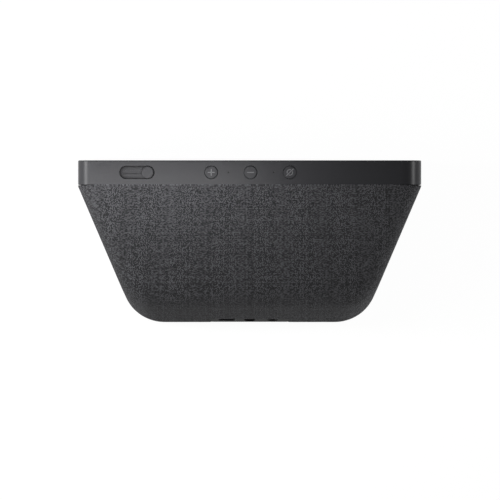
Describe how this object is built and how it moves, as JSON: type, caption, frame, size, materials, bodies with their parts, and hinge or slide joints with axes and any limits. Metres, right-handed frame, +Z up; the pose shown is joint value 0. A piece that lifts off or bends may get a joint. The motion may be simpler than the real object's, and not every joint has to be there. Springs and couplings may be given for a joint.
{
  "type": "smart display speaker",
  "caption": "Tabletop smart display speaker: a leaning glass-fronted screen in a thin frame with buttons and a camera shutter on top, and a tapered cloth-covered speaker body behind it.",
  "frame": {"origin": "on the table, under the middle of the bounding box", "axes": "+Z up, the screen faces -Y and leans back 15 degrees, +X is to the right when looking at the screen"},
  "size_m": [0.2004, 0.0994, 0.1358],
  "materials": {
    "frame_plastic": "fine moulded texture, charcoal",
    "button_plastic": "fine moulded texture, charcoal",
    "cover_glass": "polished, black printed border",
    "lens_glass": "polished",
    "display": "dark when off",
    "steel": "pressed sheet",
    "screw_steel": "zinc plated",
    "circuit_board": "green solder mask",
    "flex": "amber film",
    "foam": "foam",
    "rubber": "matte",
    "pad": "soft silicone",
    "aluminium": "extruded",
    "magnet": "plated steel and magnet",
    "cone": "matt",
    "copper": "wound wire",
    "black_plastic": "moulded",
    "fabric": "woven acoustic cloth, charcoal"
  },
  "bodies": {
    "housing": {"antennas": "flex", "audio_jack": "black_plastic", "base_foot": "rubber", "base_plate": "black_plastic", "base_screws": "screw_steel", "board_screws": "screw_steel", "bracket_screws": "screw_steel", "button_board": "circuit_board", "button_board_screws": "screw_steel", "button_flex": "flex", "camera_carrier": "black_plastic", "camera_flex": "flex", "camera_lens": "lens_glass", "camera_module": "black_plastic", "chamber_cover": "black_plastic", "chamber_gasket": "foam", "chamber_screws": "screw_steel", "cover_glass": "cover_glass", "display_bracket": "steel", "display_flex": "flex", "display_panel": "display", "driver_screws": "screw_steel", "fabric_cover": "fabric", "front_frame": "frame_plastic", "glass_gasket": "foam", "heat_sink": "aluminium", "left_basket": "steel", "left_magnet": "magnet", "left_surround": "rubber", "light_sensor": "circuit_board", "main_board": "circuit_board", "mic_boots": "rubber", "microphones": "steel", "port_board": "circuit_board", "port_cable": "flex", "port_panel": "black_plastic", "power_jack": "black_plastic", "processor_shield": "steel", "radiator_frame": "black_plastic", "radiator_surround": "rubber", "rear_housing": "black_plastic", "right_basket": "steel", "right_magnet": "magnet", "right_surround": "rubber", "speaker_chamber": "black_plastic", "speaker_leads": "flex", "tact_switches": "steel", "thermal_pad": "pad", "usb_port": "steel"},
    "volume_up": {"volume_up_button": "button_plastic"},
    "volume_down": {"volume_down_button": "button_plastic"},
    "mute": {"mute_button": "button_plastic"},
    "shutter": {"shutter_knob": "button_plastic", "shutter_blade": "button_plastic"},
    "left_driver": {"left_cone": "cone", "left_voice_coil": "copper"},
    "right_driver": {"right_cone": "cone", "right_voice_coil": "copper"},
    "radiator": {"radiator_cone": "cone"}
  },
  "joints": [
    {"name": "volume_up_press", "type": "slide", "parent": "housing", "child": "volume_up", "axis": [0, -0.2588, -0.9659], "range_m": [0, 0.0006], "stiffness_N_per_m": 2500, "springref_m": -0.0003},
    {"name": "volume_down_press", "type": "slide", "parent": "housing", "child": "volume_down", "axis": [0, -0.2588, -0.9659], "range_m": [0, 0.0006], "stiffness_N_per_m": 2500, "springref_m": -0.0003},
    {"name": "mute_press", "type": "slide", "parent": "housing", "child": "mute", "axis": [0, -0.2588, -0.9659], "range_m": [0, 0.0006], "stiffness_N_per_m": 2500, "springref_m": -0.0003},
    {"name": "shutter_slide", "type": "slide", "parent": "housing", "child": "shutter", "axis": [1, 0, 0], "range_m": [0, 0.0124]},
    {"name": "left_cone_travel", "type": "slide", "parent": "housing", "child": "left_driver", "axis": [-0.9215, 0.3752, -0.1005], "range_m": [-0.002, 0.002], "stiffness_N_per_m": 1500, "deforming": ["left_surround"]},
    {"name": "right_cone_travel", "type": "slide", "parent": "housing", "child": "right_driver", "axis": [0.9215, 0.3752, -0.1005], "range_m": [-0.002, 0.002], "stiffness_N_per_m": 1500, "deforming": ["right_surround"]},
    {"name": "radiator_travel", "type": "slide", "parent": "housing", "child": "radiator", "axis": [0, 0.8329, 0.5534], "range_m": [-0.003, 0.003], "stiffness_N_per_m": 1500, "deforming": ["radiator_surround"]}
  ]
}
